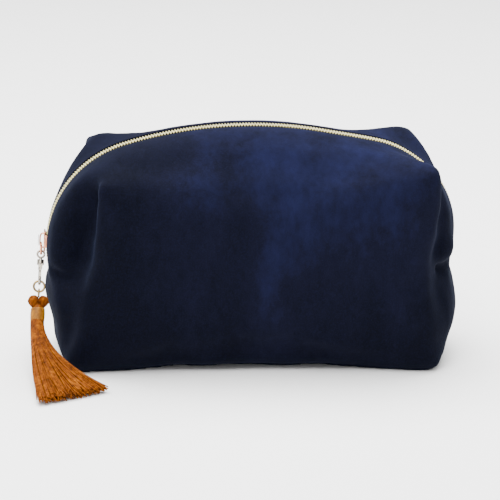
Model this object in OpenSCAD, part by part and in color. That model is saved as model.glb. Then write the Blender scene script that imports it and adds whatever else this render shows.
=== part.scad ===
// Zippered velvet pouch: a boxy bag on a flat base, a coil zip arched over its
// top from the middle of one end to the middle of the other, and a tassel that
// hangs from the slider on a swivel clasp.
// Millimetres. The origin is the middle of the base, on the surface that the
// pouch stands on. +X runs along the zip, -Y is the front, +Z is up.
// The slider is parked at the -X end.

/* [Pouch] */
// Length over the bulging ends
pouch_len = 220; // [180:1:264]
// Depth from front to back
pouch_depth = 80; // [66:1:100]
// Height of the boxed front and back faces
box_height = 110; // [92:1:132]
// How far each end stands out past the top edge of the face
end_bulge_top = 16.5; // [14:0.5:20]
// How far each end stands out past the bottom edge of the face
end_bulge_base = 12; // [9:0.5:15]
// Radius of the edges all round the front and back faces
edge_r = 7; // [5.5:0.5:9]
// Radius of the face's upper corners, seen from the front
corner_r = 9; // [7:0.5:11]

/* [Zip line] */
// Rise of the zip's crest above the boxed faces
crest_rise = 19; // [14:1:24]
// Radius of the zip's bend over each end
shoulder_r = 59; // [52:1:62]
// Height of the crest above the centre of each end bend
shoulder_drop = 67; // [65:1:74]
// Drop from the centre of each end bend to the seam across the end
end_seam_drop = 11; // [6:1:16]
// Length at each end of the face's top edge that stays shut when the top opens
flap_margin = 15.5; // [14:0.5:22]

/* [Fabric layers] */
// Thickness of the velvet
velvet_t = 1.2; // [0.8:0.1:1.5]
// Thickness of the foam interlining
foam_t = 1.6; // [1:0.1:2]
// Thickness of the lining
lining_t = 0.5; // [0.4:0.05:0.7]
// Air left between two layers
layer_gap = 0.15; // [0.1:0.05:0.3]
// Gap between two fabric edges that are sewn to each other
seam_gap = 0.3; // [0.2:0.05:0.4]
// Gap left where a flap folds on the body
fold_gap = 0.4; // [0.3:0.1:0.8]
// Width of the bias binding over an inner seam
binding_w = 6; // [4:0.5:8]
// Thickness of the bias binding
binding_t = 0.8; // [0.5:0.1:1]

/* [Zip] */
// Distance from one tooth to the next
tooth_pitch = 1.6; // [1.4:0.1:2.2]
// Diameter of a tooth's wire
tooth_d = 0.7; // [0.5:0.05:0.75]
// Height of a tooth above the tape
tooth_rise = 1.8; // [1.4:0.1:2]
// Half of the closed chain's width
chain_half = 2.9; // [2.6:0.1:3.2]
// How far two rows of teeth reach past the middle
tooth_reach = 0.6; // [0.4:0.1:0.8]
// Thickness of the woven tape
tape_t = 0.5; // [0.4:0.05:0.6]
// Distance from the zip's middle to the outer edge of a tape
tape_edge = 12; // [10:0.5:14]
// Distance from the zip's middle to the folded edge of the velvet
velvet_edge = 5.1; // [4.9:0.1:6]

/* [Slider] */
// Length of the slider along the zip
slider_len = 11; // [9:0.5:12]
// Width of the slider across the zip
slider_w = 8.6; // [8:0.1:9]
// Thickness of each slider plate
plate_t = 0.9; // [0.8:0.05:1]
// Thickness of the post that joins the slider's plates
post_t = 0.8; // [0.6:0.1:0.8]
// Running clearance between the slider and what it runs on
slide_clear = 0.15; // [0.1:0.05:0.2]
// Length of zip between the end seam and the middle of the parked slider
slider_park = 13; // [11:0.5:16]
// Height of the crown above the slider's upper plate
crown_h = 2.7; // [2.6:0.1:3.4]
// Width of the crown
crown_w = 1.8; // [1.4:0.1:2]

/* [Hanging parts] */
// Wire diameter of the puller link
link_wire = 1.3; // [1.1:0.1:1.4]
// Inner width of the puller link
link_gap = 2.6; // [2.4:0.1:3]
// Length of the puller link between its two bars
link_len = 5.5; // [5:0.5:7]
// Radial clearance of a turning pin
pin_clear = 0.06; // [0.03:0.01:0.1]
// Length of the clasp from its collar to its bend
clasp_len = 14; // [13:0.5:17]
// Width of the clasp's hook
clasp_w = 6; // [5.6:0.2:7]
// Thickness of the clasp
clasp_t = 2.2; // [2:0.1:2.6]
// Forward lean of the hanging parts from the vertical
hang_lean = 30; // [20:1:40]
// Sideways lean of the hanging parts, away from the pouch
hang_side = 4; // [3:1:8]
// Outside diameter of the jump ring
ring_d = 7; // [6.6:0.2:9]
// Wire diameter of the jump ring
ring_wire = 1.2; // [1:0.1:1.2]

/* [Tassel] */
// Width of the tassel's looped head
head_w = 11; // [9:0.5:13]
// Height of the tassel's looped head
head_h = 7.5; // [6:0.5:9]
// Diameter of the wrapped binding under the head
wrap_d = 7.6; // [6:0.2:9]
// Length of the wrapped binding
wrap_len = 7; // [5:0.5:9]
// How far the skirt's ends lie in front of the wrapped binding
skirt_reach = 47; // [40:1:60]
// How far the skirt's ends lie to the right of the wrapped binding
skirt_side = 19; // [12:1:24]
// Width of the skirt's fan at its ends
skirt_w = 45; // [32:1:54]
// Thickness of the skirt where it lies
skirt_t = 4.6; // [4:0.2:7]

/* [Hidden] */

$fn = 48;

velvet_c = [0.09, 0.12, 0.27];
foam_c = [0.93, 0.92, 0.88];
lining_c = [0.12, 0.13, 0.22];
tape_c = [0.16, 0.17, 0.27];
teeth_c = [0.90, 0.85, 0.62];
rose_gold_c = [0.85, 0.60, 0.47];
nickel_c = [0.62, 0.58, 0.52];
antique_c = [0.62, 0.47, 0.25];
thread_c = [0.76, 0.42, 0.10];
wrap_c = [0.86, 0.60, 0.16];

// ---- The zip line, in the XZ plane ----
half_len = pouch_len / 2;
half_depth = pouch_depth / 2;
face_top_len = pouch_len - 2 * end_bulge_top;
face_base_len = pouch_len - 2 * end_bulge_base;
crest_z = box_height + crest_rise;
bend_x = half_len - shoulder_r;
bend_z = crest_z - shoulder_drop;
// The top arc meets both end bends smoothly and passes through the crest
crest_to_bend = crest_z - shoulder_r;
top_cz = (pow(crest_to_bend, 2) - pow(bend_x, 2) - pow(bend_z, 2)) / (2 * (crest_to_bend - bend_z));
top_r = crest_z - top_cz;
bend_top = 90 - atan2(bend_x, bend_z - top_cz);
end_seam_z = bend_z - end_seam_drop;
bend_start = -asin(end_seam_drop / shoulder_r);
flap_half = face_top_len / 2 - flap_margin;
flap_angle = acos((flap_half - bend_x) / shoulder_r);

// ---- Depths of the layers below the velvet's face ----
// The tapes lie a little deeper than the foam
tape_sink = 0.1;
foam_top = velvet_t + layer_gap;
lining_top = foam_top + foam_t + layer_gap;
tape_top = foam_top + tape_sink;
inner_face = lining_top + lining_t;

// Where the edge rounding of the front face meets the gusset
gusset_y = half_depth - edge_r;
// Half-width of the flat band along the zip
zip_flat = velvet_edge + 1;
hinge_z = box_height + 0.3;

// Height between the face's corners and the ends of its straight sides
side_margin = 16;
side_top = box_height - side_margin;
side_base = 13;
base_corner_r = 4;
// How far the base's middle stops short of the face's ends
foot_inset = 6;
// The ends bulge fully from this share of the end seam's height
bulge_share = 0.8;

top_steps = 12;
corner_steps = 4;
side_steps = 6;
base_steps = 6;
loft_steps = 6;
edge_rings = 3;

// ---- Outlines ----
// A station names a place on the outline: [kind, value]. The kinds are
// 0 along the top at x, 1 round the upper corner, 2 down the side at height z,
// 3 round the lower corner and 4 along the base.
function left_stations(cut) = concat(
    [for (i = [0:top_steps]) [0, -cut * i / top_steps]],
    [for (i = [1:corner_steps]) [1, i / (corner_steps + 1)]],
    [for (i = [0:side_steps]) [2, side_top + (end_seam_z - side_top) * i / side_steps]],
    [for (i = [0:side_steps - 1]) [2, end_seam_z - seam_gap + (side_base - end_seam_z) * i / side_steps]],
    [for (i = [1:3]) [3, i / 4]],
    [for (i = [0:base_steps]) [4, i / base_steps]]
);

function face_half(z) = (face_base_len + (face_top_len - face_base_len) * z / box_height) / 2;

// The front face's outline, inset by d
function face_point(s, d) =
    let (
        r = max(corner_r - d, 0.5),
        rb = max(base_corner_r - d, 0.5),
        k = s[0],
        u = s[1],
        top_x = face_half(box_height) - d - r,
        base_x = face_half(0) - d - rb
    )
    k == 0 ? [u, box_height - d] :
    k == 1 ? [-(top_x + r * sin(90 * u)), box_height - d - r + r * cos(90 * u)] :
    k == 2 ? [-(face_half(u) - d), u] :
    k == 3 ? [-(base_x + rb * cos(90 * u)), d + rb - rb * sin(90 * u)] :
    [-base_x * (1 - u), d];

function zip_z(x, o) =
    abs(x) <= (top_r - o) * cos(bend_top) ?
        top_cz + sqrt(pow(top_r - o, 2) - x * x) :
        bend_z + sqrt(pow(shoulder_r - o, 2) - pow(abs(x) - bend_x, 2));

// Half-length of the lower end at height z, below the end seam
function lower_half(z) =
    let (full = bend_x + shoulder_r * cos(bend_start), foot = face_half(0) + 1)
    foot + (full - foot) * sin(90 * min(1, z / (bulge_share * end_seam_z)));

// The middle outline, which holds the zip and the base seam, inset by o
function middle_point(s, o) =
    let (
        k = s[0],
        u = s[1],
        r = shoulder_r - o,
        from = acos((flap_half - bend_x) / r),
        to = asin((side_top - bend_z) / r),
        a = from + (to - from) * u,
        foot = face_half(0) - foot_inset,
        foot_bulge = lower_half(side_base) - o - foot
    )
    k == 0 ? [u, zip_z(u, o)] :
    k == 1 ? [-(bend_x + r * cos(a)), bend_z + r * sin(a)] :
    k == 2 && u >= end_seam_z ? [-(bend_x + sqrt(r * r - pow(u - bend_z, 2))), u] :
    k == 2 ? [-(lower_half(u) - o), u] :
    k == 3 ? [-(foot + foot_bulge * cos(90 * u)), o + (side_base - o) * (1 - sin(90 * u))] :
    [-foot * (1 - u), o];

// A station is on the zip's run if it is above the end seam
function on_zip(s) = s[0] < 2 || (s[0] == 2 && s[1] >= end_seam_z);

// A point of the gusset at distance y in front of the middle, at depth o under the face.
// The gusset is flat across the zip, so that the slider runs clear of it.
function gusset_point(s, o, y) =
    let (
        a = face_point(s, o),
        b = middle_point(s, o),
        w = sin(90 * min(1, (gusset_y - y) / (gusset_y - zip_flat))),
        p = a + (b - a) * w
    )
    [p[0], -y, p[1]];

// A point of the rounded edge, at angle a from the face
function edge_point(s, o, a) =
    let (r = max(edge_r - o, 0.5), p = face_point(s, o + r * (1 - sin(a))))
    [p[0], -(half_depth - o - r * (1 - cos(a))), p[1]];

function mirrored(p) = [-p[0], p[1], p[2]];

// One closed ring of points, from the crest down the left side and up the right.
// Rings 0 to edge_rings round the edge, the others cross the gusset to its free edge.
function half_ring(k, o, cut, zip_edge, seam_edge) = [
    for (s = left_stations(cut))
        let (edge = on_zip(s) ? zip_edge : seam_edge)
        k <= edge_rings ? edge_point(s, o, 90 * k / edge_rings) :
        gusset_point(s, o, gusset_y + (edge - gusset_y) * (k - edge_rings) / loft_steps)
];

function full_ring(half) = concat(half, [for (i = [len(half) - 2:-1:1]) mirrored(half[i])]);

// ---- One front half shell without the part of its top that folds ----
// Rings are numbered from the face to the free edge, and the outer skin's
// points come before the inner skin's.
module body_shell(o, t, zip_edge, seam_edge) {
    cut = flap_half + fold_gap / 2;
    last = edge_rings + loft_steps;
    outer = [for (k = [0:last]) full_ring(half_ring(k, o, cut, zip_edge, seam_edge))];
    inner = [for (k = [0:last]) full_ring(half_ring(k, o + t, cut, zip_edge, seam_edge))];
    n = len(outer[0]);
    rings = last + 1;
    skin = rings * n;
    mid_o = [0, -(half_depth - o), box_height / 2];
    mid_i = [0, -(half_depth - o - t), box_height / 2];
    points = concat([for (r = outer) each r], [for (r = inner) each r], [mid_o, mid_i]);
    // Steps of the outline from flap edge to flap edge, round the bottom
    kept = [for (i = [0:n - 1]) if (i >= top_steps && i < n - top_steps) i];
    quads = concat(
        [for (k = [0:edge_rings - 1]) for (i = [0:n - 1]) [k, i]],
        [for (k = [edge_rings:last - 1]) for (i = kept) [k, i]]
    );
    open_edge = edge_rings * n;
    rim = concat(
        [for (i = kept) [last * n + i, last * n + (i + 1) % n]],
        [for (k = [edge_rings:last - 1]) [k * n + top_steps, (k + 1) * n + top_steps]],
        [for (k = [edge_rings:last - 1]) [(k + 1) * n + n - top_steps, k * n + n - top_steps]],
        [for (i = [0:n - 1]) if (i < top_steps || i >= n - top_steps)
            [open_edge + i, open_edge + (i + 1) % n]]
    );
    faces = concat(
        [for (q = quads) each ring_faces(n, q[0], q[1], 0, false)],
        [for (q = quads) each ring_faces(n, q[0], q[1], skin, true)],
        [for (i = [0:n - 1]) [2 * skin, (i + 1) % n, i]],
        [for (i = [0:n - 1]) [2 * skin + 1, skin + i, skin + (i + 1) % n]],
        [for (e = rim) each [[e[0], e[1], e[0] + skin], [e[1], e[1] + skin, e[0] + skin]]]
    );
    polyhedron(points, faces, convexity = 8);
}

// Two triangles over the corners a, b, c, d, each moved on by base
function grid_faces(a, b, c, d, base, flip) =
    flip ?
        [[base + a, base + c, base + b], [base + a, base + d, base + c]] :
        [[base + a, base + b, base + c], [base + a, base + c, base + d]];

// The two triangles between rings k and k + 1 of n points, after point i
function ring_faces(n, k, i, base, flip) =
    let (j = (i + 1) % n)
    grid_faces(k * n + i, k * n + j, (k + 1) * n + j, (k + 1) * n + i, base, flip);

// The same between rows k and k + 1 of an open grid
function row_faces(n, k, i, base, flip) =
    grid_faces(k * n + i, k * n + i + 1, (k + 1) * n + i + 1, (k + 1) * n + i, base, flip);

// A closed block between two grids of points of the same size
module slab(outer, inner) {
    rows = len(outer);
    n = len(outer[0]);
    skin = rows * n;
    edge = concat(
        [for (i = [0:n - 2]) [(rows - 1) * n + i, (rows - 1) * n + i + 1]],
        [for (k = [rows - 1:-1:1]) [k * n + n - 1, (k - 1) * n + n - 1]],
        [for (i = [n - 1:-1:1]) [i, i - 1]],
        [for (k = [0:rows - 2]) [k * n, (k + 1) * n]]
    );
    faces = concat(
        [for (k = [0:rows - 2]) for (i = [0:n - 2]) each row_faces(n, k, i, 0, false)],
        [for (k = [0:rows - 2]) for (i = [0:n - 2]) each row_faces(n, k, i, skin, true)],
        [for (e = edge) each [[e[0], e[1], e[0] + skin], [e[1], e[1] + skin, e[0] + skin]]]
    );
    polyhedron([each [for (r = outer) each r], each [for (r = inner) each r]], faces, convexity = 6);
}

// ---- The part of the front half that folds out, from the face's top edge to the zip ----
function flap_row(o, y) =
    let (cut = flap_half - fold_gap / 2, n = 2 * top_steps)
    [for (i = [0:n]) gusset_point([0, cut - 2 * cut * i / n], o, y)];

module flap_shell(o, t, zip_edge) {
    from = gusset_y - fold_gap;
    ys = [for (k = [0:loft_steps]) from + (zip_edge - from) * k / loft_steps];
    slab([for (y = ys) flap_row(o, y)], [for (y = ys) flap_row(o + t, y)]);
}

// ---- Places on the zip ----
// Arc length from the left end seam to the start of the top arc, and over the top arc
bend_run = shoulder_r * (bend_top - bend_start) * PI / 180;
top_run = 2 * top_r * (90 - bend_top) * PI / 180;
zip_run = 2 * bend_run + top_run;
flap_start = shoulder_r * (flap_angle - bend_start) * PI / 180;

// Frame at arc length s: [x, z, tilt], where tilt turns the outward normal from +Z towards -X
function zip_frame(s) =
    s < bend_run ?
        let (a = bend_start + s / shoulder_r * 180 / PI)
        [-(bend_x + shoulder_r * cos(a)), bend_z + shoulder_r * sin(a), 90 - a] :
    s < bend_run + top_run ?
        let (a = (s - bend_run - top_run / 2) / top_r * 180 / PI)
        [top_r * sin(a), top_cz + top_r * cos(a), -a] :
        let (a = bend_top - (s - bend_run - top_run) / shoulder_r * 180 / PI)
        [bend_x + shoulder_r * cos(a), bend_z + shoulder_r * sin(a), a - 90];

// A point at arc length s, y in front of the middle and depth o under the velvet's face
function zip_point(s, y, o) =
    let (f = zip_frame(s))
    [f[0] + o * sin(f[2]), -y, f[1] - o * cos(f[2])];

// A woven tape under the stations of the zip line that are given
module tape_run(stations) {
    rows = [tape_edge, (tape_edge + zip_flat) / 2, zip_flat, post_t / 2 + slide_clear + 0.2];
    slab(
        [for (y = rows) [for (s = stations) gusset_point(s, tape_top, y)]],
        [for (y = rows) [for (s = stations) gusset_point(s, tape_top + tape_t, y)]]
    );
}

// A row of teeth from arc length a to b, which reaches from the chain's edge to tip.
// Each tooth is an upright bar across its half of the chain.
module tooth_row(a, b, tip, phase) {
    count = floor((b - a) / tooth_pitch);
    lead = (b - a - (count - 1) * tooth_pitch) / 2;
    bar = tooth_rise - layer_gap;
    for (i = [0:count - 1]) {
        f = zip_frame(a + lead + (i + phase) * tooth_pitch);
        translate([f[0], -(chain_half + tip) / 2, f[1]])
            rotate([0, -f[2], 0])
                translate([0, 0, layer_gap + bar / 2 - tape_top])
                    cube([tooth_d, chain_half - tip, bar], center = true);
    }
}

// The other half of the pouch
module at_back() {
    mirror([0, 1, 0]) children();
}

// ---- Fabric ----
foam_edge = tape_edge + 1;
lining_edge = velvet_edge + 0.6;

module front_panel() {
    color(velvet_c) body_shell(0, velvet_t, velvet_edge, seam_gap / 2);
}

module back_panel() {
    at_back() front_panel();
}

module front_interlining() {
    color(foam_c) body_shell(foam_top, foam_t, foam_edge, seam_gap);
}

module back_interlining() {
    at_back() front_interlining();
}

module front_lining() {
    color(lining_c) body_shell(lining_top, lining_t, lining_edge, seam_gap);
}

module back_lining() {
    at_back() front_lining();
}

module front_flap_panel() {
    color(velvet_c) flap_shell(0, velvet_t, velvet_edge);
}

module back_flap_panel() {
    at_back() front_flap_panel();
}

module front_flap_interlining() {
    color(foam_c) flap_shell(foam_top, foam_t, foam_edge);
}

module back_flap_interlining() {
    at_back() front_flap_interlining();
}

module front_flap_lining() {
    color(lining_c) flap_shell(lining_top, lining_t, lining_edge);
}

module back_flap_lining() {
    at_back() front_flap_lining();
}

// Bindings lie on the lining, along the seams inside
binding_depth = inner_face + layer_gap;
// The corner bindings bridge the lining's corner, a little deeper
corner_sink = 0.35;

module corner_binding() {
    low = side_base + 4;
    high = side_top - 6;
    steps = 4;
    rows = concat(
        [for (i = [0:steps]) [2, high + (end_seam_z - high) * i / steps]],
        [for (i = [1:steps]) [2, end_seam_z + (low - end_seam_z) * i / steps]]
    );
    ys = [gusset_y, gusset_y - binding_w / 2, gusset_y - binding_w];
    top = binding_depth + corner_sink;
    slab(
        [for (y = ys) [for (s = rows) gusset_point(s, top, y)]],
        [for (y = ys) [for (s = rows) gusset_point(s, top + binding_t, y)]]
    );
}

module corner_bindings() {
    color(lining_c)
        for (side = [0, 1], face = [0, 1])
            mirror([side, 0, 0]) mirror([0, face, 0]) corner_binding();
}

module end_binding() {
    zs = [end_seam_z - 1 - binding_w, end_seam_z - 1];
    reach = gusset_y - binding_w - 2;
    steps = 8;
    ys = [for (i = [0:steps]) reach * (1 - 2 * i / steps)];
    slab(
        [for (z = zs) [for (y = ys) signed_gusset([2, z], binding_depth, y)]],
        [for (z = zs) [for (y = ys) signed_gusset([2, z], binding_depth + binding_t, y)]]
    );
}

// A gusset point on either side of the middle
function signed_gusset(s, o, y) =
    let (p = gusset_point(s, o, abs(y)))
    [p[0], -y, p[2]];

module end_bindings() {
    color(lining_c)
        for (side = [0, 1])
            mirror([side, 0, 0]) end_binding();
}

module base_binding() {
    length = face_base_len - 5 * binding_w;
    color(lining_c)
        translate([-length / 2, -binding_w / 2, binding_depth])
            cube([length, binding_w, binding_t]);
}

// ---- Zip ----
// Stations along one end of the zip, from the flap's cut down to the end seam
end_zip_stations = concat(
    [[0, -(flap_half + fold_gap / 2)]],
    [for (i = [1:corner_steps]) [1, i / (corner_steps + 1)]],
    [for (i = [0:side_steps]) [2, side_top + (end_seam_z - side_top) * i / side_steps]]
);

module tape_ends() {
    color(tape_c)
        for (side = [0, 1])
            mirror([side, 0, 0]) tape_run(end_zip_stations);
}

module tape_top_run() {
    cut = flap_half - fold_gap / 2;
    color(tape_c) tape_run([for (i = [0:2 * top_steps]) [0, cut - cut * i / top_steps]]);
}

module front_tape_ends() {
    tape_ends();
}

module back_tape_ends() {
    at_back() tape_ends();
}

module front_tape_top() {
    tape_top_run();
}

module back_tape_top() {
    at_back() tape_top_run();
}

stop_len = 3;
post_gap = post_t / 2 + slide_clear;

module teeth_ends(phase) {
    color(teeth_c) {
        tooth_row(stop_len + 1, flap_start - 1, post_gap, 0);
        tooth_row(zip_run - flap_start + 1, zip_run - stop_len - 1, -tooth_reach, phase);
    }
}

module teeth_top(phase) {
    color(teeth_c) tooth_row(flap_start + 1, zip_run - flap_start - 1, -tooth_reach, phase);
}

module front_teeth_ends() {
    teeth_ends(-0.25);
}

module back_teeth_ends() {
    at_back() teeth_ends(0.25);
}

module front_teeth_top() {
    teeth_top(-0.25);
}

module back_teeth_top() {
    at_back() teeth_top(0.25);
}

// A stop is a metal staple crimped over both tapes at each end of the chain
module end_stops() {
    width = 2 * chain_half - 0.6;
    color(rose_gold_c)
        for (s = [stop_len / 2, zip_run - stop_len / 2]) {
            f = zip_frame(s);
            translate([f[0], 0, f[1]])
                rotate([0, -f[2], 0])
                    translate([-stop_len / 2 + 0.4, -width / 2, -tape_top + layer_gap / 2])
                        cube([stop_len - 0.8, width, tooth_rise - layer_gap]);
        }
}

// ---- Slider ----
// Made at angle 0, pointing along -X from the centre of the end bend, then turned up
slider_angle = bend_start + slider_park / shoulder_r * 180 / PI;
teeth_top_r = shoulder_r - tape_top + tooth_rise;
tape_under_r = shoulder_r - tape_top - tape_t;
upper_r = teeth_top_r + slide_clear;
lower_r = tape_under_r - slide_clear - plate_t;

// A curved block between two radii about the bend's centre, w wide and length long
module bend_block(r0, r1, w, length, y = 0, at = 0) {
    mid = (r0 + r1) / 2;
    sweep = length / mid * 180 / PI;
    translate([-bend_x, y, bend_z])
        rotate([90, 0, 0])
            rotate([0, 0, 180 - slider_angle - at - sweep / 2])
                rotate_extrude(angle = sweep, $fn = 96)
                    translate([r0, -w / 2])
                        square([r1 - r0, w]);
}

module slider_body() {
    flange = 0.7;
    flange_drop = 0.9;
    color(rose_gold_c) {
        bend_block(upper_r, upper_r + plate_t, slider_w, slider_len);
        bend_block(lower_r, lower_r + plate_t, slider_w - 0.6, slider_len - 1);
        bend_block(lower_r + plate_t / 2, upper_r + plate_t / 2, post_t, slider_len * 0.4);
        for (y = [-1, 1] * (slider_w - flange) / 2)
            bend_block(upper_r - flange_drop, upper_r + plate_t / 2, flange, slider_len - 1, y);
    }
}

crown_base_r = upper_r + plate_t;
crown_top_r = crown_base_r + crown_h;
crown_len = slider_len * 0.75;
hole_r = link_wire / 2 + pin_clear;
// Metal left under the pivot's hole
hole_margin = 0.7;
pivot_r = crown_base_r + hole_margin + hole_r;
// The puller's pivot sits in the lower half of the crown
pivot_angle = slider_angle - crown_len * 0.22 / pivot_r * 180 / PI;
pivot_x = -(bend_x + pivot_r * cos(pivot_angle));
pivot_z = bend_z + pivot_r * sin(pivot_angle);

module slider_crown() {
    color(rose_gold_c)
        difference() {
            bend_block(crown_base_r, crown_top_r, crown_w, crown_len);
            translate([pivot_x, 0, pivot_z])
                rotate([90, 0, 0])
                    cylinder(h = 3 * crown_w, r = hole_r, center = true);
        }
}

// A leaf over the crown that holds the slider's locking pin down
module lock_spring() {
    color(nickel_c)
        bend_block(crown_top_r, crown_top_r + 0.3, crown_w * 0.8, crown_len * 0.7);
}

// ---- Hanging parts ----
// Each is drawn hanging straight down from the puller link's lower bar, at its
// drop below that bar, and is then leaned sideways and forwards.
link_bar = link_gap / 2 + link_wire / 2;

eye_wire = 1.1;
touch_gap = 0.12;
eye_r = 1.9;
eye_lift = (link_wire + eye_wire) / 2 + touch_gap;
eye_drop = eye_r - eye_lift;

collar_drop = eye_drop + eye_r + eye_wire / 2 + 0.7;
collar_h = 1.2;
cavity_h = 1.4;
stem_r = 0.75;
stem_head_r = 1.1;
collar_r = 1.9;
head_block_h = 2.2;
block_drop = collar_drop + collar_h + cavity_h;

hook_wire = 1.5;
hook_r = (clasp_w - hook_wire) / 2;
hook_bottom = collar_drop + clasp_len - hook_wire / 2;
arc_drop = hook_bottom - hook_r;
rivet_drop = block_drop + head_block_h / 2;
rivet_r = 0.4;
nose_len = 1.3;
gate_t = 0.9;
gate_w = 1.2;
gate_end = arc_drop - nose_len - 0.2;

ring_r = (ring_d - ring_wire) / 2;
ring_drop = hook_bottom - (hook_wire + ring_wire) / 2 - touch_gap + ring_r;
loop_wire = 1;
loop_r = 2;
ring_bottom = ring_drop + ring_r;
loop_drop = ring_bottom - (ring_wire + loop_wire) / 2 - touch_gap + loop_r;
head_top = loop_drop + loop_wire / 2 + 0.6;
wrap_drop = head_top + head_h;
skirt_drop = wrap_drop + wrap_len;

module from_pivot() {
    translate([pivot_x, 0, pivot_z]) children();
}

// Moves a part to its drop on the leaning line
module on_chain(drop) {
    from_pivot()
        translate([0, 0, -link_len])
            rotate([0, hang_side, 0])
                translate([0, 0, eye_lift])
                    rotate([-hang_lean, 0, 0])
                        translate([0, 0, -eye_lift - drop])
                            children();
}

// The same place as a point, x to the right and y to the back on the leaning line
function chain_point(drop, x = 0, y = 0) =
    let (
        down = eye_lift + drop,
        y1 = y * cos(hang_lean) - down * sin(hang_lean),
        z1 = eye_lift - y * sin(hang_lean) - down * cos(hang_lean)
    )
    [
        pivot_x + x * cos(hang_side) + z1 * sin(hang_side),
        y1,
        pivot_z - link_len - x * sin(hang_side) + z1 * cos(hang_side)
    ];

// A wire ring, round the Y axis
module wire_ring(r, wire) {
    rotate([90, 0, 0])
        rotate_extrude()
            translate([r, 0])
                circle(d = wire, $fn = 24);
}

module puller_link() {
    color(rose_gold_c)
        from_pivot() {
            for (z = [0, -link_len])
                translate([0, 0, z])
                    rotate([90, 0, 0])
                        cylinder(h = link_gap + 2 * link_wire, d = link_wire, center = true);
            for (side = [-1, 1])
                translate([0, side * link_bar, -link_len])
                    cylinder(h = link_len, d = link_wire);
        }
}

// The eye hangs on the link, and its headed stem turns in the hook's collar
module swivel_eye() {
    stem_top = eye_drop + eye_r;
    head_at = collar_drop + collar_h + 0.1;
    stem_head_h = 0.7;
    color(nickel_c) {
        on_chain(eye_drop) wire_ring(eye_r, eye_wire);
        on_chain(head_at + stem_head_h)
            cylinder(h = head_at + stem_head_h - stem_top, r = stem_r);
        on_chain(head_at + stem_head_h)
            cylinder(h = stem_head_h, r = stem_head_r);
    }
}

// The hook lies in the plane of the link's bars: a collar and a head, a spine
// at the back, a round bend at the bottom and a short nose that the gate meets
module clasp_hook() {
    slot = gate_t + 0.2;
    color(nickel_c)
        difference() {
            union() {
                on_chain(block_drop + 0.2)
                    cylinder(h = collar_h + cavity_h + 0.2, r = collar_r);
                on_chain(block_drop + head_block_h / 2)
                    cube([clasp_t, clasp_w, head_block_h], center = true);
                on_chain(arc_drop)
                    translate([0, hook_r, 0])
                        cylinder(h = arc_drop - block_drop - head_block_h + 0.5, d = hook_wire);
                on_chain(arc_drop)
                    translate([0, -hook_r, 0])
                        cylinder(h = nose_len, d = hook_wire);
                on_chain(arc_drop)
                    rotate([0, 90, 0])
                        rotate([0, 0, -90])
                            rotate_extrude(angle = 180)
                                translate([hook_r, 0])
                                    circle(d = hook_wire, $fn = 24);
            }
            on_chain(block_drop)
                cylinder(h = 2 * collar_h + cavity_h, r = stem_r + pin_clear);
            on_chain(block_drop)
                cylinder(h = cavity_h, r = stem_head_r + 0.15);
            on_chain(block_drop + head_block_h + 1)
                translate([-slot / 2, -clasp_w, 0])
                    cube([slot, clasp_w - 0.9, head_block_h + 1.2]);
            on_chain(rivet_drop)
                translate([0, -hook_r, 0])
                    rotate([0, 90, 0])
                        cylinder(h = 2 * clasp_t, r = rivet_r, center = true);
        }
}

// The gate turns on the rivet and has a thumb rest outside
module clasp_gate() {
    color(nickel_c)
        difference() {
            union() {
                on_chain(gate_end)
                    translate([-gate_t / 2, -hook_r - gate_w / 2, 0])
                        cube([gate_t, gate_w, gate_end - rivet_drop + 0.5]);
                on_chain(rivet_drop + 2.6)
                    translate([0, -hook_r - gate_w / 2 - 0.2, 0])
                        rotate([0, 90, 0])
                            cylinder(h = gate_t, r = 0.7, center = true);
            }
            on_chain(rivet_drop)
                translate([0, -hook_r, 0])
                    rotate([0, 90, 0])
                        cylinder(h = 2 * gate_t, r = rivet_r + pin_clear, center = true);
        }
}

module gate_rivet() {
    color(nickel_c)
        on_chain(rivet_drop)
            translate([0, -hook_r, 0])
                rotate([0, 90, 0])
                    cylinder(h = clasp_t, r = rivet_r, center = true);
}

// A folded leaf in the head's slot that pushes the gate shut
module gate_spring() {
    leaf = 0.3;
    color(nickel_c)
        on_chain(rivet_drop)
            translate([-gate_t / 2, -0.9 - leaf, 0.1])
                cube([gate_t, leaf, head_block_h / 2 - 0.2]);
}

module jump_ring() {
    color(antique_c) on_chain(ring_drop) wire_ring(ring_r, ring_wire);
}

// The loop stands across the jump ring, between the two lobes of the head
module loop_ring(wire) {
    on_chain(loop_drop)
        rotate([0, 0, 90])
            wire_ring(loop_r, wire);
}

module tassel_loop() {
    color(antique_c) loop_ring(loop_wire);
}

core_r = wrap_d / 2 - 0.5;

// The threads fold over the loop in two lobes and run down through the wrapped binding
module tassel_head() {
    lobe_r = head_w * 0.26;
    shoulder_h = head_h - lobe_r;
    color(thread_c)
        difference() {
            union() {
                for (side = [-1, 1])
                    on_chain(head_top + lobe_r)
                        translate([side * (head_w / 2 - lobe_r), 0, 0])
                            sphere(r = lobe_r);
                on_chain(wrap_drop)
                    cylinder(h = shoulder_h, r = wrap_d / 2 - 0.2);
                on_chain(skirt_drop + skirt_gap + 0.6)
                    cylinder(h = wrap_len + skirt_gap + 1, r = core_r);
            }
            loop_ring(loop_wire + 0.2);
        }
}

module tassel_binding() {
    color(wrap_c)
        on_chain(skirt_drop)
            difference() {
                cylinder(h = wrap_len, d = wrap_d);
                translate([0, 0, -1])
                    cylinder(h = wrap_len + 2, r = core_r);
            }
}

// ---- The skirt: threads that drop from the binding and fan out on the ground ----
skirt_sides = 20;
skirt_rings = 10;
// The threads leave the binding at a slant, so the fan starts this far below it
skirt_gap = 1.4;
skirt_from = chain_point(skirt_drop + skirt_gap);
skirt_rest = skirt_t / 2 + 0.3;
skirt_to = [skirt_from[0] + skirt_side, skirt_from[1] - skirt_reach - skirt_w / 5, skirt_rest];
// Where the threads turn from hanging to lying
skirt_turn = [skirt_from[0] - 1, skirt_from[1] - 14, skirt_from[2] * 0.5];
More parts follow.
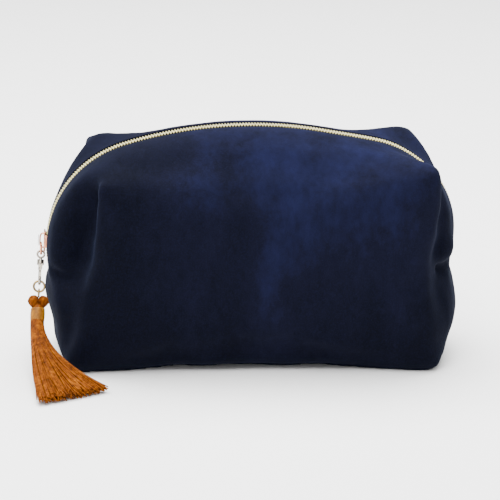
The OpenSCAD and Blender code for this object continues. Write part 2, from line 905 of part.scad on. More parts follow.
// The way that the fan spreads at its ends: to the right and a little back
fan_way = [0.88, 0.475, 0];

function mix(a, b, t) = a + (b - a) * t;
function unit(v) = v / norm(v);

function skirt_ring(t) =
    let (
        mid = mix(mix(skirt_from, skirt_turn, t), mix(skirt_turn, skirt_to, t), t),
        along = unit(mix(skirt_turn - skirt_from, skirt_to - skirt_turn, t)),
        wide = unit(mix([1, 0, 0], fan_way, t)),
        up = unit(cross(wide, along)),
        half_w = mix(wrap_d / 2, skirt_w / 2, pow(t, 2.2)),
        half_t = mix(wrap_d / 2, skirt_t / 2, t)
    )
    [for (i = [0:skirt_sides - 1])
        let (a = 360 * i / skirt_sides)
        mid + wide * half_w * cos(a) + up * half_t * sin(a)];

// Rings of points joined into one closed solid
module ring_loft(rings) {
    n = len(rings[0]);
    last = len(rings) - 1;
    faces = concat(
        [for (k = [0:last - 1]) for (i = [0:n - 1]) each ring_faces(n, k, i, 0, false)],
        [[for (i = [n - 1:-1:0]) i]],
        [[for (i = [0:n - 1]) last * n + i]]
    );
    polyhedron([for (r = rings) each r], faces, convexity = 4);
}

module tassel_skirt() {
    color(thread_c) ring_loft([for (k = [0:skirt_rings]) skirt_ring(k / skirt_rings)]);
}

front_panel();
back_panel();
front_interlining();
back_interlining();
front_lining();
back_lining();
corner_bindings();
end_bindings();
base_binding();
front_tape_ends();
back_tape_ends();
front_teeth_ends();
back_teeth_ends();
end_stops();
front_flap_panel();
front_flap_interlining();
front_flap_lining();
front_tape_top();
front_teeth_top();
back_flap_panel();
back_flap_interlining();
back_flap_lining();
back_tape_top();
back_teeth_top();
slider_body();
slider_crown();
lock_spring();
puller_link();
swivel_eye();
clasp_hook();
clasp_gate();
gate_rivet();
gate_spring();
jump_ring();
tassel_loop();
tassel_head();
tassel_binding();
tassel_skirt();
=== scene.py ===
import math
import random

import bmesh
import bpy
import numpy as np
from mathutils import Matrix, Quaternion, Vector, noise


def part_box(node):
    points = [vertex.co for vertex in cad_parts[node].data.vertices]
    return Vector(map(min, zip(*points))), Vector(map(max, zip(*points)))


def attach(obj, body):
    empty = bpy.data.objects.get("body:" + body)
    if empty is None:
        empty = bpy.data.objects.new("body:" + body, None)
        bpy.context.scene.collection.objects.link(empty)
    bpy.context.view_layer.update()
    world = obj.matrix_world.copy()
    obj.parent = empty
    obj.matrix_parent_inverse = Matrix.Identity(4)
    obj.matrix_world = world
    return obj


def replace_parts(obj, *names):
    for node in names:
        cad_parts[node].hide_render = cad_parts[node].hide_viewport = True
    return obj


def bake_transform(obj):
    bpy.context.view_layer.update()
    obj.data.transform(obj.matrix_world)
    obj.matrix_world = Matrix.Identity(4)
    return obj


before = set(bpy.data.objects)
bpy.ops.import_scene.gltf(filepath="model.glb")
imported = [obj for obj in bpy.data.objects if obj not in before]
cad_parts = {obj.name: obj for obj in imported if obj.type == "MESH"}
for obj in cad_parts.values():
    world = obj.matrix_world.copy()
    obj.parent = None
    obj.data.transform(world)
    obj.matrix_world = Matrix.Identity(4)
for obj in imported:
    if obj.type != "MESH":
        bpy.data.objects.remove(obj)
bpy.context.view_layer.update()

UP = Vector((0, 0, 1))
ROUND = math.tau

# ---- Sizes of the pouch, in metres, as the part's source gives them ----
HALF_DEPTH = 0.040
BOX_HEIGHT = 0.110
EDGE_R = 0.007
CORNER_R = 0.009
BASE_CORNER_R = 0.004
GUSSET_Y = HALF_DEPTH - EDGE_R
CREST_Z = 0.129
BEND_X = 0.051
BEND_Z = 0.062
BEND_R = 0.059
TOP_CZ = -0.0965625
TOP_R = CREST_Z - TOP_CZ
SEAM_Z = 0.051
FLAP_HALF = 0.078
VELVET_EDGE = 0.0051
ZIP_FLAT = 0.0061
VELVET_T = 0.0012
FOAM_TOP = 0.00135
FOAM_T = 0.0016
LINING_TOP = 0.0031
TAPE_TOP = 0.00145
LINING_T = 0.0005
TAPE_T = 0.0005
TAPE_EDGE = 0.012
TOOTH_PITCH = 0.0016
TOOTH_RISE = 0.0018
CHAIN_HALF = 0.0029
SLIDER_ANGLE = math.radians(1.879)
BEND_TOP = math.radians(72.17)
BEND_START = math.radians(-10.745)


# ---- Camera, floor and light ----
def add_camera():
    azimuth, elevation, roll = math.radians(-5), math.radians(17.5), math.radians(1.3)
    target = Vector((0.0005, 0, 0.0580))
    away = Vector((
        math.sin(azimuth) * math.cos(elevation),
        -math.cos(azimuth) * math.cos(elevation),
        math.sin(elevation),
    ))
    distance = 1.6
    data = bpy.data.cameras.new("camera")
    data.lens = 212
    data.sensor_width = 36
    camera = bpy.data.objects.new("camera", data)
    camera.location = target + away * distance
    level = (-away).to_track_quat("-Z", "Y")
    camera.rotation_euler = (level @ Quaternion((0, 0, 1), roll)).to_euler()
    bpy.context.scene.collection.objects.link(camera)
    bpy.context.scene.camera = camera


def add_area(name, place, aim, size, power, colour=(1, 1, 1)):
    data = bpy.data.lights.new(name, "AREA")
    data.shape = "RECTANGLE"
    data.size = size[0]
    data.size_y = size[1]
    data.energy = power
    data.color = colour
    lamp = bpy.data.objects.new(name, data)
    lamp.location = place
    lamp.rotation_euler = (Vector(aim) - Vector(place)).to_track_quat("-Z", "Y").to_euler()
    bpy.context.scene.collection.objects.link(lamp)


def add_studio():
    add_area("key_light", (-0.26, -0.72, 1.2), (0, 0, 0.06), (0.9, 0.9), 26)
    add_area("fill_light", (0.9, -0.8, 0.7), (0, 0, 0.06), (0.9, 0.7), 2)
    add_area("top_light", (-0.1, 0.30, 1.1), (0, 0, 0.08), (1.4, 0.8), 56)
    world = bpy.data.worlds.new("studio")
    world.use_nodes = True
    background = world.node_tree.nodes["Background"]
    background.inputs["Color"].default_value = (1, 1, 1, 1)
    background.inputs["Strength"].default_value = 1.05
    bpy.context.scene.world = world


add_camera()
add_studio()


# ---- Shader maths ----
class Value:
    """A shader socket that is worked with in ordinary sums."""

    def __init__(self, graph, socket):
        self.graph = graph
        self.socket = socket

    def sum_with(self, operation, first, second=None):
        inputs = {0: first} if second is None else {0: first, 1: second}
        return self.graph.node("ShaderNodeMath", {"operation": operation}, inputs).value(0)

    def __add__(self, other):
        return self.sum_with("ADD", self, other)

    __radd__ = __add__

    def __sub__(self, other):
        return self.sum_with("SUBTRACT", self, other)

    def __rsub__(self, other):
        return self.sum_with("SUBTRACT", other, self)

    def __mul__(self, other):
        return self.sum_with("MULTIPLY", self, other)

    __rmul__ = __mul__

    def __truediv__(self, other):
        return self.sum_with("DIVIDE", self, other)

    def __pow__(self, other):
        return self.sum_with("POWER", self, other)

    def clamped(self):
        return self.graph.node("ShaderNodeClamp", {}, {"Value": self}).value(0)


class Made:
    """A node that has been made, with its outputs as values."""

    def __init__(self, graph, node):
        self.graph = graph
        self.node = node

    def value(self, output=0):
        return Value(self.graph, self.node.outputs[output])


class Graph:
    """The node tree of one material."""

    def __init__(self, name):
        self.material = bpy.data.materials.new(name)
        self.material.use_nodes = True
        self.tree = self.material.node_tree
        self.shader = self.tree.nodes["Principled BSDF"]

    def node(self, kind, settings, inputs):
        made = self.tree.nodes.new(kind)
        for key, setting in settings.items():
            if key == "stops":
                ramp = made.color_ramp
                while len(ramp.elements) < len(setting):
                    ramp.elements.new(0.5)
                for element, (place, colour) in zip(ramp.elements, setting):
                    element.position = place
                    element.color = colour
            else:
                setattr(made, key, setting)
        for key, item in inputs.items():
            if isinstance(item, Value):
                self.tree.links.new(item.socket, made.inputs[key])
            else:
                made.inputs[key].default_value = item
        return Made(self, made)

    def place(self, scale=(1, 1, 1), turn=(0, 0, 0)):
        coords = self.node("ShaderNodeTexCoord", {}, {}).value("Object")
        inputs = {"Vector": coords, "Scale": scale, "Rotation": turn}
        return self.node("ShaderNodeMapping", {}, inputs).value()

    def noise(self, scale, detail=2, rough=0.5, stretch=(1, 1, 1)):
        inputs = {"Vector": self.place(stretch), "Scale": scale, "Detail": detail, "Roughness": rough}
        return self.node("ShaderNodeTexNoise", {}, inputs).value("Fac")

    def wave(self, scale, direction="X", distortion=0.0, turn=(0, 0, 0)):
        settings = {"wave_type": "BANDS", "bands_direction": direction, "wave_profile": "SIN"}
        inputs = {"Vector": self.place(turn=turn), "Scale": scale, "Distortion": distortion}
        return self.node("ShaderNodeTexWave", settings, inputs).value("Fac")

    def mixed(self, factor, first, second, kind="MIX"):
        settings = {"data_type": "RGBA", "blend_type": kind}
        return self.node("ShaderNodeMix", settings, {0: factor, 6: first, 7: second}).value(2)

    def ramp(self, factor, stops):
        return self.node("ShaderNodeValToRGB", {"stops": stops}, {"Fac": factor}).value(0)

    def bump(self, height, strength, distance):
        settings = {"Height": height, "Strength": strength, "Distance": distance}
        return self.node("ShaderNodeBump", {}, settings).value()

    def feed(self, **inputs):
        for key, item in inputs.items():
            name = key.replace("_", " ").title().replace("Ior", "IOR")
            if isinstance(item, Value):
                self.tree.links.new(item.socket, self.shader.inputs[name])
            else:
                self.shader.inputs[name].default_value = item
        return self.material


def velvet_material():
    g = Graph("navy_velvet")
    # Brushed areas of the pile run up and down in soft streaks
    streaks = g.noise(17, 3, 0.5, (1, 1, 0.2))
    patches = g.noise(52, 3, 0.6, (1, 1, 0.55))
    pile = g.noise(1500, 2, 0.7)
    clumps = g.noise(300, 3, 0.65, (1, 1, 0.55))
    tone = (streaks * 0.55 + patches * 0.30 + clumps * 0.15 - 0.37) * 3.0
    # The pile is brushed flat and dark towards the base and the ends
    # Painted shade and light: the colour darkens towards the base and towards both ends and lightens
    # towards the top, standing in for light that falls from above
    spot = g.node("ShaderNodeSeparateXYZ", {}, {0: g.place()})
    tone = tone + spot.value(2) * 5 - 0.33 - spot.value(0) * spot.value(0) * 34
    # The ramp's light end is bluer, a painted sheen where the top catches the light; the random streaks and
    # patches run through the same ramp
    colour = g.ramp(tone.clamped(), [
        (0.0, (0.0009, 0.0011, 0.0028, 1)),
        (0.5, (0.0025, 0.0028, 0.0082, 1)),
        (1.0, (0.0060, 0.0072, 0.0280, 1)),
    ])
    tips = (pile * 2.4 - 1.0).clamped() * 0.32
    height = pile * 0.45 + clumps * 0.55
    return g.feed(
        base_color=g.mixed(tips, colour, (0.0085, 0.0108, 0.034, 1)),
        roughness=0.94 + (0.5 - clumps) * 0.1,
        normal=g.bump(height, 0.6, 0.0005),
        specular_ior_level=0.05,
        sheen_weight=0.03,
        sheen_roughness=0.5,
        sheen_tint=(0.18, 0.27, 0.66, 1),
    )


def lining_material():
    g = Graph("twill_lining")
    twill = g.wave(900, "X", 0.4, (0, math.radians(45), math.radians(30)))
    cross = g.wave(900, "Z", 0.4, (math.radians(20), 0, 0))
    shade = g.noise(60, 2)
    colour = g.mixed((twill * 0.6 + shade * 0.4).clamped(), (0.012, 0.016, 0.04, 1), (0.03, 0.036, 0.08, 1))
    return g.feed(
        base_color=colour,
        roughness=0.42 + cross * 0.12,
        normal=g.bump(twill * 0.6 + cross * 0.4, 0.3, 0.0001),
        sheen_weight=0.2,
        sheen_roughness=0.4,
    )


def foam_material():
    g = Graph("white_foam")
    cells = g.node("ShaderNodeTexVoronoi", {}, {"Vector": g.place(), "Scale": 900}).value("Distance")
    shade = g.noise(40, 3)
    colour = g.mixed(shade, (0.72, 0.70, 0.62, 1), (0.86, 0.84, 0.78, 1))
    return g.feed(base_color=colour, roughness=0.9, normal=g.bump(cells, 0.5, 0.0003))


def binding_material():
    g = Graph("bias_binding")
    weave = g.wave(1100, "X", 0.2, (0, 0, math.radians(45)))
    weft = g.wave(1100, "Y", 0.2, (0, 0, math.radians(45)))
    colour = g.mixed(weave, (0.014, 0.018, 0.045, 1), (0.03, 0.036, 0.075, 1))
    return g.feed(base_color=colour, roughness=0.7, normal=g.bump(weave * 0.5 + weft * 0.5, 0.4, 0.00015))


def tape_material():
    g = Graph("zip_tape_weave")
    rib = g.wave(1500, "Y", 0.2)
    pick = g.wave(1100, "X", 0.3)
    worn = g.noise(150, 3)
    tone = (rib * 0.5 + pick * 0.3 + worn * 0.2).clamped()
    colour = g.mixed(tone, (0.003, 0.004, 0.010, 1), (0.016, 0.019, 0.040, 1))
    return g.feed(base_color=colour, roughness=0.75, normal=g.bump(rib * 0.6 + pick * 0.4, 0.5, 0.0002))


def teeth_material():
    g = Graph("pale_gold_coil")
    shade = g.noise(700, 3, 0.6)
    rub = g.noise(60, 2)
    colour = g.mixed(shade, (0.26, 0.21, 0.06, 1), (0.62, 0.55, 0.25, 1))
    return g.feed(
        base_color=g.mixed((rub * 0.5).clamped(), colour, (0.74, 0.69, 0.38, 1)),
        roughness=0.30 + shade * 0.14,
        metallic=0.35,
        normal=g.bump(shade, 0.15, 0.0001),
        coat_weight=0.25,
        coat_roughness=0.25,
    )


def metal_material(name, dark, bright, rough, wear=0.5):
    g = Graph(name)
    rub = g.noise(260, 4, 0.6)
    scratches = g.noise(900, 3, 0.7, (1, 1, 0.15))
    colour = g.mixed((rub * 1.5 - 0.3).clamped(), dark, bright)
    return g.feed(
        base_color=colour,
        roughness=rough + (rub - 0.5) * 0.2 * wear + (scratches - 0.5) * 0.12,
        metallic=1.0,
        normal=g.bump(scratches, 0.06, 0.0001),
    )


def thread_material(name, dark, middle, bright, gloss):
    g = Graph(name)
    shade = g.noise(520, 3, 0.6, (1, 1, 0.35))
    broad = g.noise(90, 2, 0.5)
    tone = (shade * 0.8 + broad * 0.2 - 0.3) * 2.2
    colour = g.ramp(tone.clamped(), [(0.0, dark), (0.5, middle), (1.0, bright)])
    twist = g.noise(3200, 2, 0.5)
    return g.feed(
        base_color=colour,
        roughness=0.46 + shade * 0.2,
        normal=g.bump(twist, 0.25, 0.0001),
        specular_ior_level=gloss,
    )


def floor_material():
    g = Graph("pale_floor")
    grain = g.noise(30, 2)
    return g.feed(base_color=g.mixed(grain, (0.93, 0.93, 0.93, 1), (0.95, 0.95, 0.95, 1)), roughness=0.7)


VELVET = velvet_material()
LINING = lining_material()
FOAM = foam_material()
BINDING = binding_material()
TAPE = tape_material()
TEETH = teeth_material()
ROSE_GOLD = metal_material("rose_gold_plate", (0.30, 0.10, 0.055, 1), (0.80, 0.38, 0.22, 1), 0.22)
NICKEL = metal_material("worn_nickel", (0.10, 0.085, 0.065, 1), (0.50, 0.45, 0.38, 1), 0.26, 1.0)
BRASS = metal_material("antique_brass", (0.07, 0.045, 0.02, 1), (0.42, 0.27, 0.10, 1), 0.30, 1.0)
THREAD = thread_material(
    "ochre_silk", (0.036, 0.0075, 0.0002, 1), (0.150, 0.036, 0.0006, 1), (0.34, 0.105, 0.002, 1), 0.06
)
WRAP = thread_material(
    "golden_wrap", (0.085, 0.026, 0.0004, 1), (0.25, 0.092, 0.001, 1), (0.50, 0.23, 0.005, 1), 0.28
)


def add_floor():
    bm = bmesh.new()
    bmesh.ops.create_grid(bm, x_segments=2, y_segments=2, size=3)
    mesh = bpy.data.meshes.new("floor")
    bm.to_mesh(mesh)
    bm.free()
    floor = bpy.data.objects.new("floor", mesh)
    mesh.materials.append(floor_material())
    bpy.context.scene.collection.objects.link(floor)


add_floor()


# ---- Making pieces ----
def link_piece(name, mesh, material, smooth=True):
    piece = bpy.data.objects.new(name, mesh)
    mesh.materials.clear()
    mesh.materials.append(material)
    bpy.context.scene.collection.objects.link(piece)
    if smooth:
        mesh.shade_smooth()
    return piece


def piece_from(name, bm, material, smooth=True, tidy=True):
    """A piece from a bmesh, with doubles merged and faces turned outwards."""
    if tidy:
        bmesh.ops.remove_doubles(bm, verts=bm.verts, dist=1e-6)
        bmesh.ops.recalc_face_normals(bm, faces=bm.faces)
    mesh = bpy.data.meshes.new(name)
    bm.to_mesh(mesh)
    bm.free()
    return link_piece(name, mesh, material, smooth)


def baked(piece):
    """The piece with its modifiers applied."""
    graph = bpy.context.evaluated_depsgraph_get()
    graph.update()
    mesh = bpy.data.meshes.new_from_object(piece.evaluated_get(graph))
    piece.modifiers.clear()
    piece.data = mesh
    return piece


def curve_piece(name, runs, radius, material, closed=False, sides=2, radii=None):
    """Tubes along runs of points, as one mesh."""
    curve = bpy.data.curves.new(name + "_line", "CURVE")
    curve.dimensions = "3D"
    curve.bevel_depth = radius
    curve.bevel_resolution = sides
    curve.use_fill_caps = True
    for number, run in enumerate(runs):
        spline = curve.splines.new("POLY")
        spline.points.add(len(run) - 1)
        spline.use_cyclic_u = closed
        for i, p in enumerate(run):
            spline.points[i].co = (p[0], p[1], p[2], 1)
            if radii is not None:
                spline.points[i].radius = radii[number][i]
    holder = bpy.data.objects.new(name + "_line", curve)
    bpy.context.scene.collection.objects.link(holder)
    graph = bpy.context.evaluated_depsgraph_get()
    mesh = bpy.data.meshes.new_from_object(holder.evaluated_get(graph))
    bpy.data.objects.remove(holder)
    bpy.data.curves.remove(curve)
    mesh.name = name
    return link_piece(name, mesh, material)


def joined(name, parts):
    """The parts' meshes as one piece, in the first part's finish."""
    bm = bmesh.new()
    for part in parts:
        bm.from_mesh(part.data)
    material = parts[0].data.materials[0]
    for part in parts:
        bpy.data.objects.remove(part)
    for face in bm.faces:
        face.material_index = 0
        face.smooth = True
    mesh = bpy.data.meshes.new(name)
    bm.to_mesh(mesh)
    bm.free()
    return link_piece(name, mesh, material)


def smoothstep(low, high, value):
    t = np.clip((value - low) / (high - low), 0, 1)
    return t * t * (3 - 2 * t)


# ---- The bag's surface ----
TOP_STEPS = 22
SIDE_STEPS = 14
BASE_STEPS = 18
SIDE_TOP = BOX_HEIGHT - 0.016
SIDE_BASE = 0.013


def face_half(z):
    return (0.196 + (0.187 - 0.196) * z / BOX_HEIGHT) / 2


def half_stations():
    """Places on the outline, from the crest's middle down the left side to the base's middle."""
    top = [("top", -FLAP_HALF * i / TOP_STEPS) for i in range(TOP_STEPS + 1)]
    corner = [("corner", i / 7) for i in range(1, 7)]
    count = 2 * SIDE_STEPS
    side = [("side", SIDE_TOP + (SIDE_BASE - SIDE_TOP) * i / count) for i in range(count + 1)]
    low = [("low", i / 5) for i in range(1, 5)]
    base = [("base", i / BASE_STEPS) for i in range(BASE_STEPS + 1)]
    return top + corner + side + low + base


def face_point(station, d):
    kind, u = station
    r = max(CORNER_R - d, 0.0005)
    rb = max(BASE_CORNER_R - d, 0.0005)
    top_x = face_half(BOX_HEIGHT) - d - r
    base_x = face_half(0) - d - rb
    turn = math.radians(90) * u
    if kind == "top":
        return u, BOX_HEIGHT - d
    if kind == "corner":
        return -(top_x + r * math.sin(turn)), BOX_HEIGHT - d - r + r * math.cos(turn)
    if kind == "side":
        return -(face_half(u) - d), u
    if kind == "low":
        return -(base_x + rb * math.cos(turn)), d + rb - rb * math.sin(turn)
    return -base_x * (1 - u), d


def zip_height(x, o):
    if abs(x) <= (TOP_R - o) * math.cos(BEND_TOP):
        return TOP_CZ + math.sqrt((TOP_R - o) ** 2 - x * x)
    return BEND_Z + math.sqrt((BEND_R - o) ** 2 - (abs(x) - BEND_X) ** 2)


def lower_half(z):
    full = BEND_X + BEND_R * math.cos(BEND_START)
    foot = face_half(0) + 0.001
    return foot + (full - foot) * math.sin(math.radians(90) * min(1, z / (0.8 * SEAM_Z)))


def middle_point(station, o):
    kind, u = station
    r = BEND_R - o
    foot = face_half(0) - 0.006
    turn = math.radians(90) * u
    if kind == "top":
        return u, zip_height(u, o)
    if kind == "corner":
        start = math.acos((FLAP_HALF - BEND_X) / r)
        end = math.asin((SIDE_TOP - BEND_Z) / r)
        a = start + (end - start) * u
        return -(BEND_X + r * math.cos(a)), BEND_Z + r * math.sin(a)
    if kind == "side":
        if u >= SEAM_Z:
            return -(BEND_X + math.sqrt(r * r - (u - BEND_Z) ** 2)), u
        return -(lower_half(u) - o), u
    if kind == "low":
        wide = lower_half(SIDE_BASE) - o - foot
        return -(foot + wide * math.cos(turn)), o + (SIDE_BASE - o) * (1 - math.sin(turn))
    return -foot * (1 - u), o


def gusset_point(station, o, y):
    a = face_point(station, o)
    b = middle_point(station, o)
    w = math.sin(math.radians(90) * min(1, (GUSSET_Y - y) / (GUSSET_Y - ZIP_FLAT)))
    return Vector((a[0] + (b[0] - a[0]) * w, -y, a[1] + (b[1] - a[1]) * w))


def edge_point(station, o, angle):
    r = max(EDGE_R - o, 0.0005)
    p = face_point(station, o + r * (1 - math.sin(angle)))
    return Vector((p[0], -(HALF_DEPTH - o - r * (1 - math.cos(angle))), p[1]))


def ring_points(place):
    half = [place(s) for s in half_stations()]
    return half + [Vector((-p.x, p.y, p.z)) for p in reversed(half[1:-1])]


def bag_form(o):
    """The whole bag as one closed form, bridged from ring to ring."""
    rings = []
    for k in range(5):
        angle = math.radians(22.5 * k)
        rings.append(ring_points(lambda s: edge_point(s, o, angle)))
    steps = 10
    for k in range(1, steps + 1):
        y = GUSSET_Y * (1 - k / steps)
        rings.append(ring_points(lambda s: gusset_point(s, o, y)))
    back = [[Vector((p.x, -p.y, p.z)) for p in ring] for ring in reversed(rings[:-1])]
    bm = bmesh.new()
    loops = []
    for ring in rings + back:
        verts = [bm.verts.new(p) for p in ring]
        loops.append([bm.edges.new((verts[i], verts[(i + 1) % len(verts)])) for i in range(len(verts))])
    for near, far in zip(loops, loops[1:]):
        bmesh.ops.bridge_loops(bm, edges=near + far)
    bmesh.ops.contextual_create(bm, geom=loops[0])
    bmesh.ops.contextual_create(bm, geom=loops[-1])
    bmesh.ops.recalc_face_normals(bm, faces=bm.faces)
    return bm


def coords(mesh):
    co = np.zeros(len(mesh.vertices) * 3)
    mesh.vertices.foreach_get("co", co)
    return co.reshape(-1, 3)


def set_coords(mesh, co):
    mesh.vertices.foreach_set("co", co.reshape(-1))
    mesh.update()


def vertex_normals(mesh):
    normals = np.zeros(len(mesh.vertices) * 3)
    mesh.vertices.foreach_get("normal", normals)
    return normals.reshape(-1, 3)


def sewn_share(co):
    """How free each point is: 0 along the zip, 1 where the fabric may move."""
    across = np.abs(co[:, 1])
    on_zip = smoothstep(SEAM_Z - 0.010, SEAM_Z - 0.002, co[:, 2])
    return 1 - on_zip * (1 - smoothstep(0.009, 0.022, across))


AIR_PRESSURE = 4
PUFF_FRAMES = 20
MOST_PUFF = 0.0045


def puff(bag):
    """Lets air press the fabric outwards, and keeps how far it moves to a few millimetres."""
    before = coords(bag.data)
    free = sewn_share(before)
    group = bag.vertex_groups.new(name="sewn")
    for i, share in enumerate(free):
        if share < 0.98:
            group.add([i], 1 - share, "REPLACE")
    cloth = bag.modifiers.new("cloth", "CLOTH")
    cloth.settings.quality = 5
    cloth.settings.mass = 0.3
    cloth.settings.tension_stiffness = 25
    cloth.settings.compression_stiffness = 25
    cloth.settings.shear_stiffness = 8
    cloth.settings.bending_stiffness = 2.5
    cloth.settings.use_pressure = True
    cloth.settings.uniform_pressure_force = AIR_PRESSURE
    cloth.settings.vertex_group_mass = "sewn"
    cloth.settings.effector_weights.gravity = 0
    cloth.collision_settings.use_collision = False
    scene = bpy.context.scene
    for step in range(1, PUFF_FRAMES + 1):
        scene.frame_set(step)
    graph = bpy.context.evaluated_depsgraph_get()
    after = coords(bag.evaluated_get(graph).data)
    bag.modifiers.clear()
    bag.vertex_groups.clear()
    moved = (after - before) * free[:, None]
    length = np.linalg.norm(moved, axis=1)
    moved *= (np.tanh(length / MOST_PUFF) * MOST_PUFF / np.maximum(length, 1e-9))[:, None]
    set_coords(bag.data, before + moved)
    scene.frame_set(1)


def ridge(value, middle, width):
    return np.exp(-(((value - middle) / width) ** 2))


def eased(mesh, co, share, times):
    """Draws each point towards its neighbours, to round a crease off."""
    ends = np.zeros(len(mesh.edges) * 2, dtype=int)
    mesh.edges.foreach_get("vertices", ends)
    first, second = ends.reshape(-1, 2).T
    count = np.bincount(ends, minlength=len(co))[:, None]
    for _ in range(times):
        total = np.zeros_like(co)
        np.add.at(total, first, co[second])
        np.add.at(total, second, co[first])
        co = co + 0.5 * share[:, None] * (total / count - co)
    return co


SEAM_GROOVE = 0.0038
VALLEY_DEPTH = 0.0115
RIGHT_VALLEY = 0.35
LOW_VALLEY = 0.0020
FACE_WAVE = 0.0009
DRAG_LINE = 0.0006
HEAD_DENT = 0.0020


def soft_folds(mesh, ease_times):
    """Folds, dents and seams in the fabric, pressed in along its normals."""
    co = coords(mesh)
    normals = vertex_normals(mesh)
    x, y, z = co[:, 0], co[:, 1], co[:, 2]
    free = sewn_share(co)
    across = np.abs(y)
    side = np.sign(x)
    end = smoothstep(0.080, 0.094, np.abs(x))
    push = np.zeros(len(co))
    # The seam across each end pulls in, and the fabric swells above and below it
    reach = np.where(x > 0, 0.026, 0.034)
    on_end = smoothstep(0.086, 0.096, np.abs(x)) * (1 - smoothstep(reach, reach + 0.005, across))
    push -= SEAM_GROOVE * on_end * ridge(z, SEAM_Z - 0.0005, 0.0030)
    push += 0.0018 * on_end * ridge(z, SEAM_Z + 0.010, 0.007)
    push += 0.0016 * on_end * ridge(z, SEAM_Z - 0.014, 0.010)
    # A valley runs down the end beside each face's crease, under the zip's bend
    valley = ridge(across, 0.0295, 0.0065) * end * (1 - smoothstep(0.0335, 0.0385, across))
    valley *= np.where(x > 0, RIGHT_VALLEY, 1.0)
    push -= VALLEY_DEPTH * valley * smoothstep(0.046, 0.064, z) * (1 - smoothstep(0.096, 0.112, z))
    push -= LOW_VALLEY * valley * (1 - smoothstep(0.034, 0.048, z)) * smoothstep(0.006, 0.018, z)
    # The faces hang in shallow upright waves
    on_face = smoothstep(0.034, 0.039, across)
    wave = np.sin(x * 74 + 1.3 * np.sin(z * 38) + 0.9 * np.sign(y)) * 0.5 + np.sin(x * 41 - 0.7) * 0.5
    push += FACE_WAVE * on_face * wave * smoothstep(0.006, 0.030, z)
    # Drag lines from the lower corners and from the zip's bends
    pull = np.sin((np.abs(x) + 0.8 * z) * 210 + side * 1.1) * ridge(np.abs(x), 0.096, 0.016)
    push += DRAG_LINE * pull * smoothstep(0.004, 0.02, z) * (1 - smoothstep(0.055, 0.085, z))
    # The fabric gives way a little where the tassel's head hangs against it
    push -= HEAD_DENT * (x < -0.085) * ridge(y, -0.014, 0.012) * ridge(z, 0.038, 0.012)
    push *= free
    for i in range(len(co)):
        p = Vector(co[i])
        wander = noise.noise(p * 26) * 0.0011 + noise.noise(p * 70 + Vector((3, 1, 7))) * 0.00045
        push[i] += wander * free[i]
    co += normals * push[:, None]
    # The crease beside each face is rounded, the right one half as much
    crease = ridge(across, 0.0385, 0.0075) * end * smoothstep(0.008, 0.02, z)
    crease *= 1 - smoothstep(0.094, 0.106, z)
    crease *= np.where(x > 0, 0.5, 1.0)
    co = eased(mesh, co, crease, ease_times)
    # It stands flat on its base
    co[:, 2] = np.where(co[:, 2] < 0.0012, np.maximum(co[:, 2] * 0.35, 0.0), co[:, 2])
    set_coords(mesh, lean(co))


SHRINK = 0.0018
MESH_SIZE = 0.0034


def make_bag():
    """The closed bag, drawn a little small, meshed evenly and grown back to its size."""
    bag = piece_from("bag", bag_form(SHRINK), VELVET, tidy=False)
    remesh = bag.modifiers.new("remesh", "REMESH")
    remesh.mode = "VOXEL"
    remesh.voxel_size = MESH_SIZE
    baked(bag)
    smooth = bag.modifiers.new("smooth", "SMOOTH")
    smooth.factor = 0.5
    smooth.iterations = 2
    baked(bag)
    set_coords(bag.data, swollen(coords(bag.data), vertex_normals(bag.data), SHRINK))
    puff(bag)
    return bag


def swollen(co, normals, distance):
    return co + normals * distance


bag = make_bag()


def lean(co):
    """How the soft bag stands: its back corners are pulled up, its front leans to the right,
    and its right shoulder and end stand a little higher than the left."""
    x, y, z = co[:, 0], co[:, 1], co[:, 2]
    moved = co.copy()
    back = smoothstep(0.004, 0.026, y)
    ear = smoothstep(0.046, 0.086, np.abs(x)) * smoothstep(0.046, 0.108, z)
    moved[:, 2] += 0.0064 * ear * back
    moved[:, 0] += 0.0016 * (x < 0) * ear * back
    shoulder = smoothstep(0.040, 0.092, x) * smoothstep(0.052, 0.100, z)
    moved[:, 2] += 0.0034 * shoulder
    moved[:, 0] += 0.0026 * smoothstep(0.080, 0.100, x) * ridge(z, 0.088, 0.024)
    face = smoothstep(0.014, 0.034, -y)
    moved[:, 0] += 0.0062 * face * smoothstep(0.016, 0.108, z)
    moved[:, 2] += 0.0030 * face * shoulder
    moved[:, 2] += 0.0050 * smoothstep(0.070, 0.098, x) * ridge(z, 0.052, 0.026)
    # The ends spread at the base, the right one more
    foot = 1 - smoothstep(0.022, 0.050, z)
    swell = ridge(z, 0.020, 0.013) * (1 - smoothstep(0.028, 0.038, np.abs(y)))
    moved[:, 0] += smoothstep(0.068, 0.097, x) * (0.0052 * foot + 0.0012 * swell)
    moved[:, 0] -= smoothstep(0.068, 0.097, -x) * 0.0030 * (1 - smoothstep(0.008, 0.028, z))
    return moved


# ---- Cutting the bag into its two sewn halves ----
def half_of(mesh, side, zip_edge, seam_edge):
    """One half of a bag mesh. side is -1 for the front and 1 for the back.
    The half ends at zip_edge from the middle along the zip and at seam_edge along the other seams."""
    bm = bmesh.new()
    bm.from_mesh(mesh)
    for edge in (zip_edge, seam_edge):
        bmesh.ops.bisect_plane(
            bm, geom=bm.verts[:] + bm.edges[:] + bm.faces[:], dist=1e-5,
            plane_co=(0, side * edge, 0), plane_no=(0, 1, 0),
        )
    band = [f for f in bm.faces if abs(f.calc_center_median().y) < zip_edge + 0.0004]
    verts = {v for f in band for v in f.verts}
    edges = {e for f in band for e in f.edges}
    bmesh.ops.bisect_plane(
        bm, geom=list(verts) + list(edges) + band, dist=1e-5,
        plane_co=(0, 0, SEAM_Z), plane_no=(0, 0, 1),
    )
    gone = []
    for f in bm.faces:
        c = f.calc_center_median()
        if c.y * side < seam_edge or (c.z > SEAM_Z and c.y * side < zip_edge):
            gone.append(f)
    bmesh.ops.delete(bm, geom=gone, context="FACES")
    bmesh.ops.remove_doubles(bm, verts=bm.verts, dist=0.00015)
    return bm


